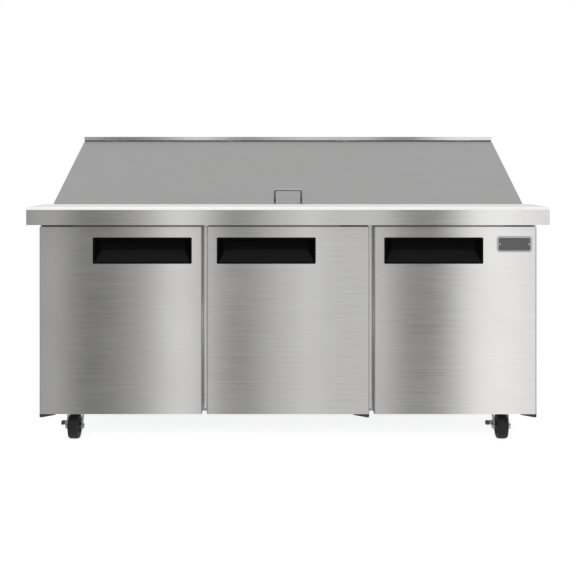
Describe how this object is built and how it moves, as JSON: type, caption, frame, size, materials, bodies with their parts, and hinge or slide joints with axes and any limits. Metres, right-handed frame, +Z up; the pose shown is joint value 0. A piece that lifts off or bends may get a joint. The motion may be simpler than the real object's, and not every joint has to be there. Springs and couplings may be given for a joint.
{
  "type": "three-door sandwich prep refrigerator",
  "caption": "Stainless reach-in prep refrigerator with hinged solid doors, sloping lid over chilled food pans, full-width cutting board, and locking swivel casters.",
  "frame": {"origin": "on the floor, at the middle of the object's footprint box", "axes": "+X to the right seen from the front, +Y to the back, +Z up; the doors face -Y"},
  "size_m": [1.84, 0.865, 1.116],
  "materials": {
    "stainless_panel": "horizontally brushed stainless steel sheet",
    "stainless_door": "horizontally brushed stainless steel door skin",
    "stainless_lid": "brushed stainless steel lid skin",
    "stainless_pan": "pressed stainless steel, satin",
    "zinc_steel": "zinc plated steel",
    "galvanised_sheet": "galvanised sheet with a faint spangle",
    "polished_rod": "polished stainless rod",
    "hinge_dark": "dark steel piano hinge",
    "liner_aluminium": "satin stucco aluminium sheet",
    "inner_white": "thermoformed white plastic",
    "board_white": "white polyethylene with a fine matt texture",
    "foam": "rigid polyurethane foam",
    "handle_black": "black moulded plastic, fine grain",
    "gasket_grey": "dark grey flexible vinyl",
    "bracket_black": "black powder coat",
    "nameplate_metal": "satin anodised plate",
    "shelf_coat": "epoxy coated wire",
    "compressor_black": "black gloss enamel",
    "coil_metal": "aluminium fins with black shroud",
    "fan_plastic": "dark moulded fan",
    "control_grey": "grey enamelled steel box",
    "gland_black": "black nylon",
    "wheel_rubber": "black rubber tread on a nylon hub",
    "brake_black": "black coated pedal"
  },
  "bodies": {
    "cabinet": {"base_pan": "galvanised_sheet", "side_panels": "stainless_panel", "back_panel": "galvanised_sheet", "rear_grille": "galvanised_sheet", "inner_liner": "liner_aluminium", "foam_panels": "foam", "front_frame": "stainless_panel", "counter_shelf": "stainless_panel", "top_deck": "stainless_panel", "adapter_bars": "stainless_pan", "food_pans_sixth": "stainless_pan", "food_pans_third": "stainless_pan", "rear_hood": "stainless_panel", "hood_cap": "stainless_panel", "lid_hinge_fixed": "hinge_dark", "door_hinge_brackets": "bracket_black", "wire_shelves": "shelf_coat", "shelf_standards": "zinc_steel", "compressor": "compressor_black", "condenser": "coil_metal", "evaporator": "coil_metal", "condensate_pan": "galvanised_sheet", "controller": "control_grey", "cord_gland": "gland_black", "caster_plates": "zinc_steel", "screws": "zinc_steel"},
    "lid": {"lid_skin": "stainless_lid", "lid_core": "foam", "lid_liner": "liner_aluminium", "lid_handle": "polished_rod", "lid_hinge_leaf": "hinge_dark"},
    "board": {"cutting_board": "board_white"},
    "condenser_rotor": {"condenser_fan": "fan_plastic"},
    "evaporator_rotor": {"evaporator_fan": "fan_plastic"},
    "door_left": {"door_skin_left": "stainless_door", "door_liner_left": "inner_white", "door_core_left": "foam", "door_gasket_left": "gasket_grey", "door_handle_left": "handle_black"},
    "door_middle": {"door_skin_middle": "stainless_door", "door_liner_middle": "inner_white", "door_core_middle": "foam", "door_gasket_middle": "gasket_grey", "door_handle_middle": "handle_black"},
    "door_right": {"door_skin_right": "stainless_door", "door_liner_right": "inner_white", "door_core_right": "foam", "door_gasket_right": "gasket_grey", "door_handle_right": "handle_black", "name_plate": "nameplate_metal"},
    "fork_front_left": {"caster_fork_front_left": "zinc_steel"},
    "wheel_front_left": {"caster_wheel_front_left": "wheel_rubber"},
    "fork_front_right": {"caster_fork_front_right": "zinc_steel"},
    "wheel_front_right": {"caster_wheel_front_right": "wheel_rubber"},
    "fork_rear_left": {"caster_fork_rear_left": "zinc_steel"},
    "wheel_rear_left": {"caster_wheel_rear_left": "wheel_rubber"},
    "fork_rear_right": {"caster_fork_rear_right": "zinc_steel"},
    "wheel_rear_right": {"caster_wheel_rear_right": "wheel_rubber"},
    "brake_left": {"caster_brake_left": "brake_black"},
    "brake_right": {"caster_brake_right": "brake_black"}
  },
  "joints": [
    {"name": "lid_hinge", "type": "hinge", "parent": "cabinet", "child": "lid", "pos_m": [0, 0.3876, 1.098], "axis": [-1, 0, 0], "range_deg": [0, 100]},
    {"name": "board_lift", "type": "slide", "parent": "cabinet", "child": "board", "axis": [0, 0, 1], "range_m": [0, 0.08]},
    {"name": "condenser_fan_spin", "type": "hinge", "parent": "cabinet", "child": "condenser_rotor", "pos_m": [0.26, 0.24, 0.245], "axis": [0, 1, 0], "continuous": true},
    {"name": "evaporator_fan_spin", "type": "hinge", "parent": "cabinet", "child": "evaporator_rotor", "pos_m": [0, 0.25, 0.56], "axis": [0, 1, 0], "continuous": true},
    {"name": "door_left_hinge", "type": "hinge", "parent": "cabinet", "child": "door_left", "pos_m": [-0.867, -0.3625, 0.44], "axis": [0, 0, -1], "range_deg": [0, 105], "stiffness_Nm_per_rad": 1, "springref_deg": -20.05},
    {"name": "door_middle_hinge", "type": "hinge", "parent": "cabinet", "child": "door_middle", "pos_m": [0.27, -0.3625, 0.44], "axis": [0, 0, 1], "range_deg": [0, 105], "stiffness_Nm_per_rad": 1, "springref_deg": -20.05},
    {"name": "door_right_hinge", "type": "hinge", "parent": "cabinet", "child": "door_right", "pos_m": [0.867, -0.3625, 0.44], "axis": [0, 0, 1], "range_deg": [0, 105], "stiffness_Nm_per_rad": 1, "springref_deg": -20.05},
    {"name": "swivel_front_left", "type": "hinge", "parent": "cabinet", "child": "fork_front_left", "pos_m": [-0.777, -0.2775, 0.1], "axis": [0, 0, 1], "continuous": true},
    {"name": "roll_front_left", "type": "hinge", "parent": "fork_front_left", "child": "wheel_front_left", "pos_m": [-0.777, -0.3025, 0.045], "axis": [1, 0, 0], "continuous": true},
    {"name": "swivel_front_right", "type": "hinge", "parent": "cabinet", "child": "fork_front_right", "pos_m": [0.777, -0.2775, 0.1], "axis": [0, 0, 1], "continuous": true},
    {"name": "roll_front_right", "type": "hinge", "parent": "fork_front_right", "child": "wheel_front_right", "pos_m": [0.777, -0.3025, 0.045], "axis": [1, 0, 0], "continuous": true},
    {"name": "swivel_rear_left", "type": "hinge", "parent": "cabinet", "child": "fork_rear_left", "pos_m": [-0.777, 0.33, 0.1], "axis": [0, 0, 1], "continuous": true},
    {"name": "roll_rear_left", "type": "hinge", "parent": "fork_rear_left", "child": "wheel_rear_left", "pos_m": [-0.777, 0.355, 0.045], "axis": [1, 0, 0], "continuous": true},
    {"name": "swivel_rear_right", "type": "hinge", "parent": "cabinet", "child": "fork_rear_right", "pos_m": [0.777, 0.33, 0.1], "axis": [0, 0, 1], "continuous": true},
    {"name": "roll_rear_right", "type": "hinge", "parent": "fork_rear_right", "child": "wheel_rear_right", "pos_m": [0.777, 0.355, 0.045], "axis": [1, 0, 0], "continuous": true},
    {"name": "brake_left_pedal", "type": "hinge", "parent": "fork_front_left", "child": "brake_left", "pos_m": [-0.8125, -0.283, 0.052], "axis": [0, 1, 0], "range_deg": [-20, 0]},
    {"name": "brake_right_pedal", "type": "hinge", "parent": "fork_front_right", "child": "brake_right", "pos_m": [0.7415, -0.283, 0.052], "axis": [0, 1, 0], "range_deg": [-20, 0]}
  ]
}
